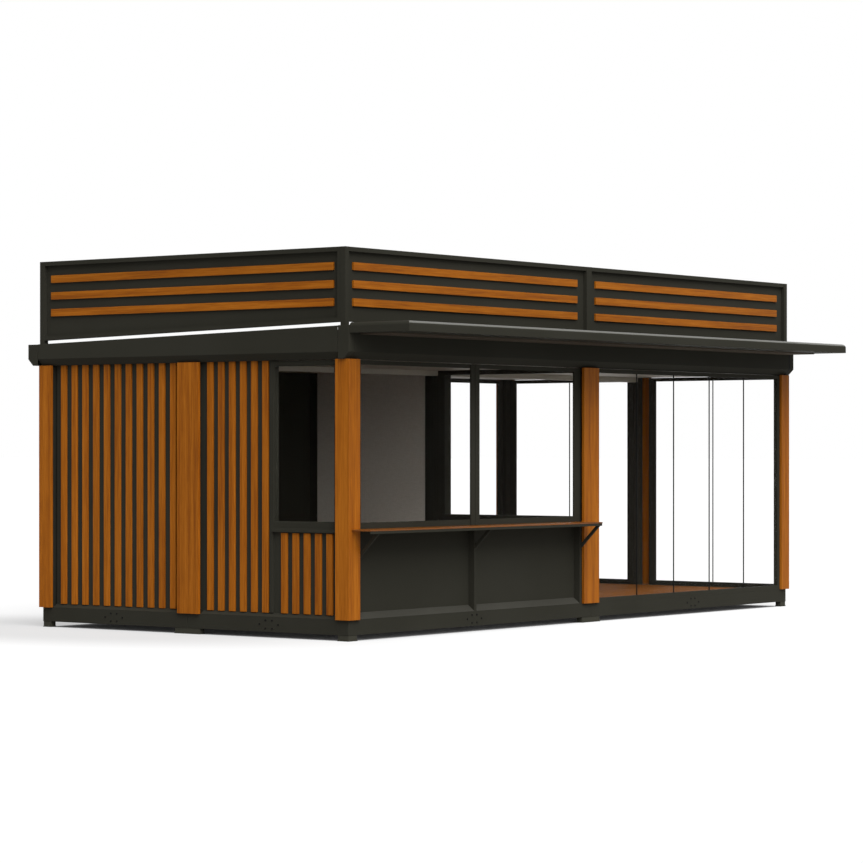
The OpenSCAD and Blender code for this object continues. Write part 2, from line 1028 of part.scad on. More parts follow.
feet();
base_front();
base_back();
base_left();
base_right();
base_centre();
floor_joists();
floor_boards();
corner_posts();
mid_posts();
centre_column();
cladding_corners();
cladding_mid();
left_wall_rear();
left_wall_front();
left_battens();
left_window_frame();
left_window_glass();
counter_wall();
serving_window_frame();
serving_window_glass();
counter_board();
counter_brackets();
front_glazing_frame();
front_glass();
right_glazing_frames();
right_glass();
back_glazing_frame();
back_glass();
back_wall();
back_battens();
partition_frame();
partition_wall();
low_wall();
ceiling();
roof_deck();
fascia_front();
fascia_back();
fascia_sides();
canopy();
parapet_front();
parapet_sides();
parapet_battens();
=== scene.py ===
import json
import math
import bmesh
import bpy
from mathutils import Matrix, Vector


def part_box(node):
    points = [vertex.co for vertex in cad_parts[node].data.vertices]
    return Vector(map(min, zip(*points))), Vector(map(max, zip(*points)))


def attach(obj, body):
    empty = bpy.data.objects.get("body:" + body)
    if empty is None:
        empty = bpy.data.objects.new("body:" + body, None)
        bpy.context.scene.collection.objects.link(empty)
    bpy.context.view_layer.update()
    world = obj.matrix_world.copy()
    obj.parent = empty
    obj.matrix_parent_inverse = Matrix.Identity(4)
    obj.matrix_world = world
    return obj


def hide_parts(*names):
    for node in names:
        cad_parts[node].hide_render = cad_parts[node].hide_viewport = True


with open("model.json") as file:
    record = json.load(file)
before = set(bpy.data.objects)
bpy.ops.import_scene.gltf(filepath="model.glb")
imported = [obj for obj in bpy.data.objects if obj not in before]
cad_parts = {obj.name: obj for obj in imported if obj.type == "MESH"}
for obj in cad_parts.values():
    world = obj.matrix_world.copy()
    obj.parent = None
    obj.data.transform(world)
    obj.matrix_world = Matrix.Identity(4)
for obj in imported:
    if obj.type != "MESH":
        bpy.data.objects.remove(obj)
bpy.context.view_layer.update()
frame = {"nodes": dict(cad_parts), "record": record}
slotOf = {part["node"]: part["material_slot"] for part in frame["record"]["subparts"]}
print("frame loaded", len(frame["nodes"]), "parts")


def toLinear(hexColour):
    # sRGB hex to linear red, green and blue, with full alpha
    channels = []
    for i in (0, 2, 4):
        c = int(hexColour[i:i + 2], 16) / 255
        channels.append(c / 12.92 if c <= 0.04045 else ((c + 0.055) / 1.055) ** 2.4)
    return (*channels, 1.0)


def addNode(tree, kind, inputs=None, stops=(), **settings):
    # Adds a node: each input is a socket to link or a value, and stops colour a ramp
    node = tree.nodes.new(kind)
    for name, value in settings.items():
        setattr(node, name, value)
    for key, value in (inputs or {}).items():
        if isinstance(value, bpy.types.NodeSocket):
            tree.links.new(value, node.inputs[key])
        else:
            node.inputs[key].default_value = value
    if stops:
        elements = node.color_ramp.elements
        while len(elements) < len(stops):
            elements.new(0.5)
        for element, (position, hexColour) in zip(elements, stops):
            element.position = position
            element.color = toLinear(hexColour)
    return node


def newMaterial(name):
    material = bpy.data.materials.new(name)
    material.use_nodes = True
    tree = material.node_tree
    tree.nodes.clear()
    output = addNode(tree, "ShaderNodeOutputMaterial")
    return material, tree, output


def perMetre(sizes):
    # Scale of a pattern that has the given sizes in millimetres along X, Y and Z
    return tuple(1000 / size for size in sizes)


# Grain sizes are in millimetres, with the pores drawn coarser than real ones so that they show;
# each board's grain starts at another place, up to boardShift metres away
woodLook = {"poreWidth": 9, "poreLength": 260, "bandWidth": 45, "bandLength": 1500,
            "dark": "8A4A11", "mid": "A75F14", "light": "BA6F1E", "boardSpread": 0.05,
            "roughness": (0.45, 0.58), "specular": 0.10}
floorLook = {"poreWidth": 10, "poreLength": 300, "bandWidth": 40, "bandLength": 1200,
             "dark": "6E4016", "mid": "8A521C", "light": "996026", "boardSpread": 0.10,
             "roughness": (0.6, 0.72), "specular": 0.02}
counterLook = {"poreWidth": 9, "poreLength": 260, "bandWidth": 45, "bandLength": 1500,
               "dark": "66370A", "mid": "7C450E", "light": "8C5214", "boardSpread": 0.05,
               "roughness": (0.30, 0.40), "specular": 0.2}
boardShift = (7.1, 5.3, 3.7)


def hardwood(name, grainAxis, look):
    # Planed hardwood under a brown oil, seal or varnish: fine pores and slow bands run along
    # the board, no two boards are quite alike, and the finish sets how low the sheen stays
    material, tree, output = newMaterial(name)
    place = addNode(tree, "ShaderNodeTexCoord").outputs["Object"]
    island = addNode(tree, "ShaderNodeNewGeometry").outputs["Random Per Island"]
    shift = addNode(tree, "ShaderNodeVectorMath", {0: boardShift, "Scale": island},
                    operation="SCALE").outputs[0]
    place = addNode(tree, "ShaderNodeVectorMath", {0: place, 1: shift}, operation="ADD").outputs[0]
    poreSize = [look["poreWidth"]] * 3
    poreSize[grainAxis] = look["poreLength"]
    bandSize = [look["bandWidth"]] * 3
    bandSize[grainAxis] = look["bandLength"]
    finePlace = addNode(tree, "ShaderNodeMapping", {"Vector": place, "Scale": perMetre(poreSize)})
    pores = addNode(tree, "ShaderNodeTexNoise",
                    {"Vector": finePlace.outputs[0], "Scale": 1.0, "Detail": 3.0,
                     "Roughness": 0.65}).outputs["Fac"]
    slowPlace = addNode(tree, "ShaderNodeMapping", {"Vector": place, "Scale": perMetre(bandSize)})
    bands = addNode(tree, "ShaderNodeTexNoise",
                    {"Vector": slowPlace.outputs[0], "Scale": 1.0, "Detail": 2.0,
                     "Roughness": 0.5, "Distortion": 0.4}).outputs["Fac"]
    grain = addNode(tree, "ShaderNodeMix", {"Factor": 0.5, 2: pores, 3: bands}).outputs[0]
    colour = addNode(tree, "ShaderNodeValToRGB", {"Fac": grain}, stops=(
        (0.36, look["dark"]), (0.50, look["mid"]), (0.64, look["light"]))).outputs["Color"]
    spread = look["boardSpread"]
    tone = addNode(tree, "ShaderNodeMapRange",
                   {"Value": island, "To Min": 1 - spread, "To Max": 1 + spread}).outputs[0]
    colour = addNode(tree, "ShaderNodeHueSaturation", {"Color": colour, "Value": tone}).outputs[0]
    smooth, rough = look["roughness"]
    sheen = addNode(tree, "ShaderNodeMapRange",
                    {"Value": grain, "To Min": smooth, "To Max": rough}).outputs[0]
    bump = addNode(tree, "ShaderNodeBump",
                   {"Height": pores, "Strength": 0.25, "Distance": 0.0006}).outputs[0]
    shader = addNode(tree, "ShaderNodeBsdfPrincipled",
                     {"Base Color": colour, "Roughness": sheen, "IOR": 1.5,
                      "Specular IOR Level": look["specular"], "Normal": bump})
    tree.links.new(shader.outputs[0], output.inputs["Surface"])
    return material


coatPattern = {"cloud": 1100, "peel": 6}  # millimetres


def powderCoat(name, look):
    # Powder-coated steel: an even paint whose slight orange peel softens every reflection;
    # the peel is drawn at 6 mm, coarser than the real one, so that it shows
    material, tree, output = newMaterial(name)
    place = addNode(tree, "ShaderNodeTexCoord").outputs["Object"]
    cloud = addNode(tree, "ShaderNodeTexNoise",
                    {"Vector": place, "Scale": 1000 / coatPattern["cloud"],
                     "Detail": 3.0}).outputs["Fac"]
    peel = addNode(tree, "ShaderNodeTexNoise",
                   {"Vector": place, "Scale": 1000 / coatPattern["peel"],
                    "Detail": 1.0}).outputs["Fac"]
    colour = addNode(tree, "ShaderNodeValToRGB", {"Fac": cloud}, stops=(
        (0.35, look["dark"]), (0.65, look["light"]))).outputs["Color"]
    both = addNode(tree, "ShaderNodeMix", {"Factor": 0.5, 2: cloud, 3: peel}).outputs[0]
    smooth, rough = look["roughness"]
    sheen = addNode(tree, "ShaderNodeMapRange",
                    {"Value": both, "To Min": smooth, "To Max": rough}).outputs[0]
    bump = addNode(tree, "ShaderNodeBump",
                   {"Height": peel, "Strength": look["peel"], "Distance": 0.0003}).outputs[0]
    shader = addNode(tree, "ShaderNodeBsdfPrincipled",
                     {"Base Color": colour, "Roughness": sheen, "IOR": 1.5,
                      "Specular IOR Level": look["specular"], "Normal": bump})
    tree.links.new(shader.outputs[0], output.inputs["Surface"])
    return material


linenWeave = {"thread": 9, "run": 60}  # millimetres


def linenPanel(name, look):
    # Coated wall lining with a fine linen emboss: short crossed threads drawn 9 mm apart,
    # wider than the real 2 mm, so that the weave shows as a faint mottle
    material, tree, output = newMaterial(name)
    place = addNode(tree, "ShaderNodeTexCoord").outputs["Object"]
    thread, run = linenWeave["thread"], linenWeave["run"]
    warpPlace = addNode(tree, "ShaderNodeMapping",
                        {"Vector": place, "Scale": perMetre((thread, thread, run))})
    upright = addNode(tree, "ShaderNodeTexNoise",
                      {"Vector": warpPlace.outputs[0], "Scale": 1.0, "Detail": 2.0}).outputs["Fac"]
    weftPlace = addNode(tree, "ShaderNodeMapping",
                        {"Vector": place, "Scale": perMetre((run, run, thread))})
    level = addNode(tree, "ShaderNodeTexNoise",
                    {"Vector": weftPlace.outputs[0], "Scale": 1.0, "Detail": 2.0}).outputs["Fac"]
    weave = addNode(tree, "ShaderNodeMix", {"Factor": 0.5, 2: upright, 3: level}).outputs[0]
    colour = addNode(tree, "ShaderNodeValToRGB", {"Fac": weave}, stops=(
        (0.38, look["dark"]), (0.62, look["light"]))).outputs["Color"]
    sheen = addNode(tree, "ShaderNodeMapRange",
                    {"Value": weave, "To Min": 0.55, "To Max": 0.7}).outputs[0]
    bump = addNode(tree, "ShaderNodeBump",
                   {"Height": weave, "Strength": 0.2, "Distance": 0.0004}).outputs[0]
    shader = addNode(tree, "ShaderNodeBsdfPrincipled",
                     {"Base Color": colour, "Roughness": sheen, "IOR": 1.5,
                      "Specular IOR Level": 0.3, "Normal": bump})
    tree.links.new(shader.outputs[0], output.inputs["Surface"])
    return material


def clearGlass(name, look):
    # Clear low-iron float glass with an anti-reflection coat: no tint and next to no mirror.
    # Light for the rooms passes straight through it, so that it throws no shadow
    material, tree, output = newMaterial(name)
    tint = toLinear(look["tint"])
    shader = addNode(tree, "ShaderNodeBsdfPrincipled",
                     {"Base Color": tint, "Roughness": 0.0, "IOR": look["ior"],
                      "Transmission Weight": 1.0})
    through = addNode(tree, "ShaderNodeBsdfTransparent", {"Color": tint})
    rays = addNode(tree, "ShaderNodeLightPath")
    either = addNode(tree, "ShaderNodeMath",
                     {0: rays.outputs["Is Shadow Ray"], 1: rays.outputs["Is Diffuse Ray"]},
                     operation="MAXIMUM")
    mixed = addNode(tree, "ShaderNodeMixShader",
                    {0: either.outputs[0], 1: shader.outputs[0], 2: through.outputs[0]})
    tree.links.new(mixed.outputs[0], output.inputs["Surface"])
    return material


def rubber(name, look):
    # Moulded rubber seal: dead matt and nearly black, with faint specks of dust
    material, tree, output = newMaterial(name)
    place = addNode(tree, "ShaderNodeTexCoord").outputs["Object"]
    speck = addNode(tree, "ShaderNodeTexNoise",
                    {"Vector": place, "Scale": 1000 / look["speck"]}).outputs["Fac"]
    colour = addNode(tree, "ShaderNodeValToRGB", {"Fac": speck}, stops=(
        (0.3, look["dark"]), (0.7, look["light"]))).outputs["Color"]
    shader = addNode(tree, "ShaderNodeBsdfPrincipled",
                     {"Base Color": colour, "Roughness": 0.8, "IOR": 1.5,
                      "Specular IOR Level": 0.15})
    tree.links.new(shader.outputs[0], output.inputs["Surface"])
    return material


def blackenedSteel(name, look):
    # Blackened steel, dulled by weather: a dark metal with a soft bloom
    material, tree, output = newMaterial(name)
    place = addNode(tree, "ShaderNodeTexCoord").outputs["Object"]
    bloom = addNode(tree, "ShaderNodeTexNoise",
                    {"Vector": place, "Scale": 1000 / look["bloom"]}).outputs["Fac"]
    colour = addNode(tree, "ShaderNodeValToRGB", {"Fac": bloom}, stops=(
        (0.3, look["dark"]), (0.7, look["light"]))).outputs["Color"]
    sheen = addNode(tree, "ShaderNodeMapRange",
                    {"Value": bloom, "To Min": 0.45, "To Max": 0.65}).outputs[0]
    shader = addNode(tree, "ShaderNodeBsdfPrincipled",
                     {"Base Color": colour, "Metallic": 1.0, "Roughness": sheen})
    tree.links.new(shader.outputs[0], output.inputs["Surface"])
    return material


alongX, alongY, alongZ = 0, 1, 2
uprightWood = hardwood("oiledHardwoodUpright", alongZ, woodLook)
frontWood = hardwood("oiledHardwoodAlongFront", alongX, woodLook)
sideWood = hardwood("oiledHardwoodAlongSide", alongY, woodLook)
floorWood = hardwood("sealedHardwoodFloor", alongX, floorLook)
counterWood = hardwood("varnishedHardwoodCounter", alongX, counterLook)
darkCoat = powderCoat("darkPowderCoatedSteel", {"dark": "35342D", "light": "393831",
                      "roughness": (0.5, 0.65), "specular": 0.02, "peel": 0.15})
frameCoat = powderCoat("darkBaseFramePaint", {"dark": "3E3D35", "light": "44433A",
                       "roughness": (0.5, 0.7), "specular": 0.04, "peel": 0.3})
# Painted light: a paler coat on the upward faces of the sill under the counter stands in for the
# light that falls on them from above
paintedLightSillCoat = powderCoat("sillPowderCoatPaintedLight", {"dark": "43423C", "light": "494842",
                       "roughness": (0.6, 0.75), "specular": 0.03, "peel": 0.15})
# Painted highlight: a pale, glossier coat on the canopy's rounded top front edge stands in for the
# bright gleam of light along it
paintedHighlightEdge = powderCoat("paintedHighlightEdgeCoat", {"dark": "666660", "light": "6E6E69",
                      "roughness": (0.4, 0.5), "specular": 0.3, "peel": 0.05})
# Painted bounce light: a paler brown-grey sheet under the canopy stands in for light thrown up from
# the ground
paintedBounceSoffitCoat = powderCoat("soffitSheetPaintedBounceLight", {"dark": "554D43", "light": "5D554A",
                        "roughness": (0.6, 0.75), "specular": 0.03, "peel": 0.1})
roofCoat = powderCoat("greyRoofSheet", {"dark": "55544F", "light": "5E5D57",
                      "roughness": (0.5, 0.7), "specular": 0.3, "peel": 0.2})
ceilingCoat = powderCoat("paleCeilingSheet", {"dark": "A09A8B", "light": "A9A394",
                         "roughness": (0.5, 0.65), "specular": 0.3, "peel": 0.1})
lining = linenPanel("greyLinenLining", {"dark": "E2DFD4", "light": "ECE9DF"})
# Painted shade: the same linen lining drawn near black, for the low wall under the counter where
# the room's shade falls
paintedShadeLining = linenPanel("linenLiningPaintedShade", {"dark": "272622", "light": "2D2C28"})
glass = clearGlass("clearFloatGlass", {"tint": "FFFFFF", "ior": 1.035})
seal = rubber("blackRubberSeal", {"dark": "121211", "light": "1A1A18", "speck": 12})
bolt = blackenedSteel("blackenedBolt", {"dark": "1C1B19", "light": "262522", "bloom": 5})

finishes = {
    "oiled_wood": uprightWood, "floor_wood": floorWood, "clear_glass": glass,
    "grey_lining": lining, "pale_ceiling": ceilingCoat, "roof_sheet": roofCoat,
    "base_steel": frameCoat, "dark_steel": darkCoat,
}
for name, piece in frame["nodes"].items():
    piece.data.materials.clear()
    # The low wall gets the lining copy with painted shade
    piece.data.materials.append(paintedShadeLining if name == "low_wall" else finishes[slotOf[name]])
print("materials done")


def keepPiece(name, mesh, slot, nodes=()):
    # Puts a mesh into the scene as a piece that may stand for some of the solids
    piece = bpy.data.objects.new(name, mesh)
    bpy.context.collection.objects.link(piece)
    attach(piece, "root")
    if nodes:
        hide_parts(*nodes)
    return piece


def applied(piece):
    # Turns live modifiers into a plain mesh
    shape = bpy.data.meshes.new_from_object(
        piece.evaluated_get(bpy.context.evaluated_depsgraph_get()))
    old = piece.data
    piece.modifiers.clear()
    piece.data = shape
    shape.name = piece.name
    bpy.data.meshes.remove(old)


# Folds sharper than foldFrom degrees are rounded, shading breaks at sharpFrom degrees,
# and corners within weld metres are joined
edgeLook = {"foldFrom": 35, "sharpFrom": 50, "weld": 0.00002}


def mergedMesh(name, node):
    # The solid's own faces, joined along their edges
    mesh = frame["nodes"][node].data.copy()
    mesh.name = name
    shape = bmesh.new()
    shape.from_mesh(mesh)
    bmesh.ops.remove_doubles(shape, verts=shape.verts, dist=edgeLook["weld"])
    shape.to_mesh(mesh)
    shape.free()
    return mesh


def softenEdges(piece, width, steps=2):
    # Rounds off what a real edge never has sharp
    edge = piece.modifiers.new("softEdge", "BEVEL")
    edge.width = width
    edge.segments = steps
    edge.limit_method = "ANGLE"
    edge.angle_limit = math.radians(edgeLook["foldFrom"])
    edge.use_clamp_overlap = True
    applied(piece)
    for face in piece.data.polygons:
        face.use_smooth = True
    piece.data.set_sharp_from_angle(angle=math.radians(edgeLook["sharpFrom"]))
    flat = piece.modifiers.new("flatFaces", "WEIGHTED_NORMAL")
    flat.mode = "FACE_AREA"
    flat.weight = 100
    flat.keep_sharp = True
    applied(piece)


def dressed(node, edge, steps=2, material=None):
    # A copy of a solid with soft edges, which stands for it
    name = node + "_dressed"
    piece = keepPiece(name, mergedMesh(name, node), slotOf[node], (node,))
    piece.data.materials.clear()
    piece.data.materials.append(material or finishes[slotOf[node]])
    softenEdges(piece, edge, steps)
    return piece


edgeSizes = {
    0.003: ("cladding_corners", "cladding_mid", "fascia_front", "fascia_back", "fascia_sides"),
    0.0025: ("left_battens", "back_battens", "base_front", "base_back", "base_left", "base_right"),
    0.002: ("corner_posts", "mid_posts", "left_wall_rear", "left_wall_front",
            "left_window_frame", "serving_window_frame", "front_glazing_frame",
            "right_glazing_frames", "back_glazing_frame", "back_wall", "partition_frame",
            "counter_brackets", "base_centre"),
    0.0009: ("parapet_front", "parapet_sides", "feet"),
}
for size, names in edgeSizes.items():
    for name in names:
        dressed(name, size)

counterEdge = {"round": 0.006, "steps": 3}
dressed("counter_board", counterEdge["round"], counterEdge["steps"], counterWood)


def paintWhere(piece, material, chosen):
    # Gives the faces that pass a test another finish
    piece.data.materials.append(material)
    for face in piece.data.polygons:
        if chosen(face.center, face.normal):
            face.material_index = len(piece.data.materials) - 1


# Rolls and rises are parts of a face's direction, and the other values are metres
paintedFaces = {"edge": 0.002, "rollFrom": 0.45, "rollTo": 0.99, "rollForward": 0.1,
                "sillRise": 0.4, "sillBelow": 0.5, "columnHalf": 0.12}


def onCanopyRoll(place, normal):
    forward = normal.y < -paintedFaces["rollForward"]
    return forward and paintedFaces["rollFrom"] < normal.z < paintedFaces["rollTo"]


def onCounterSill(place, normal):
    return normal.z > paintedFaces["sillRise"] and place.z < paintedFaces["sillBelow"]


def onRoomBeam(place, normal):
    return abs(place.x) > paintedFaces["columnHalf"]


# The canopy's rolled front edge carries a painted highlight, the upward faces of the sill under the
# counter carry painted light, and the beams across the rooms are painted with the ceiling
paintWhere(dressed("canopy", paintedFaces["edge"]), paintedHighlightEdge, onCanopyRoll)
paintWhere(dressed("counter_wall", paintedFaces["edge"]), paintedLightSillCoat, onCounterSill)
paintWhere(dressed("centre_column", paintedFaces["edge"]), ceilingCoat, onRoomBeam)
print("edges softened")


def islandsOf(shape):
    # The separate boards of one mesh, each as a list of its corners
    left = set(shape.verts)
    while left:
        stack = [left.pop()]
        island = list(stack)
        while stack:
            for edge in stack.pop().link_edges:
                for vert in edge.verts:
                    if vert in left:
                        left.remove(vert)
                        stack.append(vert)
                        island.append(vert)
        yield island


battenEdge = 0.002


def parapetBattens():
    # The grain turns with the side that each batten runs along
    name = "parapet_battens_dressed"
    piece = keepPiece(name, mergedMesh(name, "parapet_battens"), "oiled_wood", ("parapet_battens",))
    piece.data.materials.clear()
    piece.data.materials.append(frontWood)
    piece.data.materials.append(sideWood)
    shape = bmesh.new()
    shape.from_mesh(piece.data)
    for island in islandsOf(shape):
        spanX = max(v.co.x for v in island) - min(v.co.x for v in island)
        spanY = max(v.co.y for v in island) - min(v.co.y for v in island)
        for vert in island:
            for face in vert.link_faces:
                face.material_index = 1 if spanY > spanX else 0
    shape.to_mesh(piece.data)
    shape.free()
    softenEdges(piece, battenEdge)


parapetBattens()
print("parapet battens done")


def geometryTree(name, inputs):
    tree = bpy.data.node_groups.new(name, "GeometryNodeTree")
    tree.interface.new_socket("Geometry", in_out="INPUT", socket_type="NodeSocketGeometry")
    tree.interface.new_socket("Geometry", in_out="OUTPUT", socket_type="NodeSocketGeometry")
    for label, kind in inputs:
        tree.interface.new_socket(label, in_out="INPUT", socket_type="NodeSocket" + kind)
    start = addNode(tree, "NodeGroupInput")
    end = addNode(tree, "NodeGroupOutput")
    return tree, start, end


def finishTree(tree, end, instances, material):
    real = addNode(tree, "GeometryNodeRealizeInstances", {0: instances})
    coated = addNode(tree, "GeometryNodeSetMaterial", {0: real.outputs[0], "Material": material})
    tree.links.new(coated.outputs[0], end.inputs[0])


def grown(name, tree, values, slot, points=(), nodes=()):
    # Runs a tree once and keeps the plain mesh that it makes
    mesh = bpy.data.meshes.new(name)
    mesh.from_pydata([tuple(p) for p in points], [], [])
    piece = bpy.data.objects.new(name, mesh)
    bpy.context.collection.objects.link(piece)
    modifier = piece.modifiers.new(name, "NODES")
    modifier.node_group = tree
    sockets = {item.name: item.identifier for item in tree.interface.items_tree
               if item.in_out == "INPUT"}
    for label, value in values.items():
        modifier[sockets[label]] = value
    shape = bpy.data.meshes.new_from_object(
        piece.evaluated_get(bpy.context.evaluated_depsgraph_get()))
    bpy.data.objects.remove(piece)
    bpy.data.meshes.remove(mesh)
    shape.name = name
    return keepPiece(name, shape, slot, nodes)


def boardTree(material):
    # A row of equal boards side by side along Y
    tree, start, end = geometryTree("boardRow", [
        ("Board size", "Vector"), ("Count", "Int"), ("First centre", "Vector"), ("Pitch", "Float")])
    board = addNode(tree, "GeometryNodeMeshCube", {"Size": start.outputs["Board size"]})
    step = addNode(tree, "ShaderNodeCombineXYZ", {"Y": start.outputs["Pitch"]})
    row = addNode(tree, "GeometryNodeMeshLine",
                  {"Count": start.outputs["Count"], "Start Location": start.outputs["First centre"],
                   "Offset": step.outputs[0]})
    many = addNode(tree, "GeometryNodeInstanceOnPoints",
                   {"Points": row.outputs[0], "Instance": board.outputs[0]})
    finishTree(tree, end, many.outputs[0], material)
    return tree


# Metres; the two rooms' floors part at jointX
floorBoards = {"width": 0.142, "gap": 0.003, "edge": 0.0015, "jointX": 0.032}


def layFloor():
    # Boards along X in both rooms; the kitchen's piece stands for the solid of the whole floor
    low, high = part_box("floor_boards")
    gap, joint = floorBoards["gap"], floorBoards["jointX"]
    count = round((high[1] - low[1]) / (floorBoards["width"] + gap))
    pitch = (high[1] - low[1] + gap) / count
    width = pitch - gap
    thick = high[2] - low[2]
    tree = boardTree(floorWood)
    spans = {"kitchen": (low[0], joint - gap / 2), "room": (joint + gap / 2, high[0])}
    for room, (x0, x1) in spans.items():
        piece = grown("floor_boards_" + room, tree, {
            "Board size": (x1 - x0, width, thick), "Count": count, "Pitch": pitch,
            "First centre": ((x0 + x1) / 2, low[1] + width / 2, (low[2] + high[2]) / 2),
        }, "floor_wood", nodes=("floor_boards",) if room == "kitchen" else ())
        softenEdges(piece, floorBoards["edge"], 1)


def boltTree(material):
    # Hexagon heads on washers, one on each point, turned to face outwards
    tree, start, end = geometryTree("boltHeads", [
        ("Across corners", "Float"), ("Head height", "Float"), ("Washer radius", "Float"),
        ("Washer depth", "Float"), ("Turn", "Vector")])
    radius = addNode(tree, "ShaderNodeMath", {0: start.outputs["Across corners"], 1: 0.5},
                     operation="MULTIPLY")
    head = addNode(tree, "GeometryNodeMeshCylinder",
                   {"Vertices": 6, "Radius": radius.outputs[0],
                    "Depth": start.outputs["Head height"]})
    washer = addNode(tree, "GeometryNodeMeshCylinder",
                     {"Vertices": 16, "Radius": start.outputs["Washer radius"],
                      "Depth": start.outputs["Washer depth"]})
    half = addNode(tree, "ShaderNodeMath", {0: start.outputs["Head height"], 1: 0.5},
                   operation="MULTIPLY")
    lift = addNode(tree, "ShaderNodeCombineXYZ", {"Z": half.outputs[0]})
    raised = addNode(tree, "GeometryNodeTransform",
                     {0: head.outputs[0], "Translation": lift.outputs[0]})
    both = addNode(tree, "GeometryNodeJoinGeometry", {0: washer.outputs[0]})
    tree.links.new(raised.outputs[0], both.inputs[0])
    many = addNode(tree, "GeometryNodeInstanceOnPoints",
                   {"Points": start.outputs[0], "Instance": both.outputs[0],
                    "Rotation": start.outputs["Turn"]})
    finishTree(tree, end, many.outputs[0], material)
    return tree


# A ring of six small bolts stands halfway along each module's beam
boltLook = {"acrossCorners": 0.016, "headHeight": 0.006, "washer": 0.010, "washerDepth": 0.003,
            "ring": ((-0.115, 0.0), (-0.04, 0.038), (-0.04, -0.038),
                     (0.04, 0.038), (0.04, -0.038), (0.115, 0.0)),
            "ringsX": (-2, 2), "ringsY": (-1, 1)}


def boltBeams():
    low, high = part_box("base_front")
    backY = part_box("base_back")[1][1]
    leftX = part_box("base_left")[0][0]
    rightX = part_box("base_right")[1][0]
    mid = (low[2] + high[2]) / 2
    tree = boltTree(bolt)
    quarter = math.radians(90)
    alongFront = [(x + s, mid + t) for x in boltLook["ringsX"] for s, t in boltLook["ring"]]
    alongSide = [(y + s, mid + t) for y in boltLook["ringsY"] for s, t in boltLook["ring"]]
    sides = {
        "front": ([(x, low[1], z) for x, z in alongFront], (quarter, 0, 0)),
        "back": ([(x, backY, z) for x, z in alongFront], (-quarter, 0, 0)),
        "left": ([(leftX, y, z) for y, z in alongSide], (0, -quarter, 0)),
        "right": ([(rightX, y, z) for y, z in alongSide], (0, quarter, 0)),
    }
    for side, (points, turn) in sides.items():
        grown("beam_bolts_" + side, tree, {
            "Across corners": boltLook["acrossCorners"], "Head height": boltLook["headHeight"],
            "Washer radius": boltLook["washer"], "Washer depth": boltLook["washerDepth"],
            "Turn": turn}, "base_steel", points)


layFloor()
boltBeams()
print("floor and bolts done")


def stripTree(material):
    # Slim upright strips, one on each point
    tree, start, end = geometryTree("uprightStrips", [("Strip size", "Vector")])
    strip = addNode(tree, "GeometryNodeMeshCube", {"Size": start.outputs["Strip size"]})
    many = addNode(tree, "GeometryNodeInstanceOnPoints",
                   {"Points": start.outputs[0], "Instance": strip.outputs[0]})
    finishTree(tree, end, many.outputs[0], material)
    return tree


# Metres; the right wall's panes meet at rightJoint either side of the middle
sealLook = {"width": 0.008, "proud": 0.001, "joint": 0.004, "rightJoint": 1.005,
            "rows": (("leaf_seals_front", "front_glass", 5), ("pane_seals_back", "back_glass", 3))}


def glassJoints():
    # Rubber seals in the joints between the panes
    tree = stripTree(seal)
    width, proud, joint = sealLook["width"], sealLook["proud"], sealLook["joint"]
    for name, node, count in sealLook["rows"]:
        low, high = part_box(node)
        mid = [(a + b) / 2 for a, b in zip(low, high)]
        pane = (high[0] - low[0] + joint) / count
        grown(name, tree, {"Strip size": (width, high[1] - low[1] + 2 * proud, high[2] - low[2])},
              "dark_steel",
              [(low[0] - joint / 2 + k * pane, mid[1], mid[2]) for k in range(1, count)])
    low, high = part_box("right_glass")
    mid = [(a + b) / 2 for a, b in zip(low, high)]
    grown("pane_seals_right", tree,
          {"Strip size": (high[0] - low[0] + 2 * proud, width, high[2] - low[2])}, "dark_steel",
          [(mid[0], side * sealLook["rightJoint"], mid[2]) for side in (-1, 1)])


glassJoints()
print("seals done")


def foldedRun(name, profile, x0, x1, material):
    # A closed profile of Y and Z points drawn out along X
    shape = bmesh.new()
    ends = [[shape.verts.new((x, y, z)) for y, z in profile] for x in (x0, x1)]
    for ring in ends:
        shape.faces.new(ring)
    for k in range(len(profile)):
        m = (k + 1) % len(profile)
        shape.faces.new((ends[0][k], ends[0][m], ends[1][m], ends[1][k]))
    bmesh.ops.recalc_face_normals(shape, faces=shape.faces)
    mesh = bpy.data.meshes.new(name)
    shape.to_mesh(mesh)
    shape.free()
    mesh.materials.append(material)
    return keepPiece(name, mesh, "dark_steel")


soffitLook = {"setBack": 0.32, "wallGap": 0.01, "drop": 0.012, "lap": 0.004, "endGap": 0.15,
              "edge": 0.002}


def canopySoffitPaintedBounce():
    # Lighter sheet under the inner part of the canopy: painted bounce light, a pale brown-grey that
    # stands in for light thrown up from the ground
    low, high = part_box("canopy")
    y0, y1 = low[1] + soffitLook["setBack"], high[1] - soffitLook["wallGap"]
    z0, z1 = low[2] - soffitLook["drop"], low[2] + soffitLook["lap"]
    piece = foldedRun("canopy_soffit_painted_bounce", [(y0, z0), (y1, z0), (y1, z1), (y0, z1)],
                      low[0] + soffitLook["endGap"], high[0] - soffitLook["endGap"], paintedBounceSoffitCoat)
    softenEdges(piece, soffitLook["edge"], 1)


jointLook = {"fromEnd": 0.094, "width": 0.024, "proud": 0.001, "depth": 0.003, "bevel": 0.065,
             "topGap": 0.002}


def fasciaJoint():
    # Black seal that follows the front fascia's section near its right end
    low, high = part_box("fascia_front")
    out, into = low[1] - jointLook["proud"], low[1] + jointLook["depth"]
    foot, slant = low[2], jointLook["bevel"]
    bend, top = foot + slant, high[2] - jointLook["topGap"]
    profile = [(out, top), (out, bend), (out + slant, foot),
               (into + slant, foot), (into, bend), (into, top)]
    mid, half = high[0] - jointLook["fromEnd"], jointLook["width"] / 2
    foldedRun("fascia_joint_right", profile, mid - half, mid + half, seal)


canopySoffitPaintedBounce()
fasciaJoint()
print("folded pieces done")


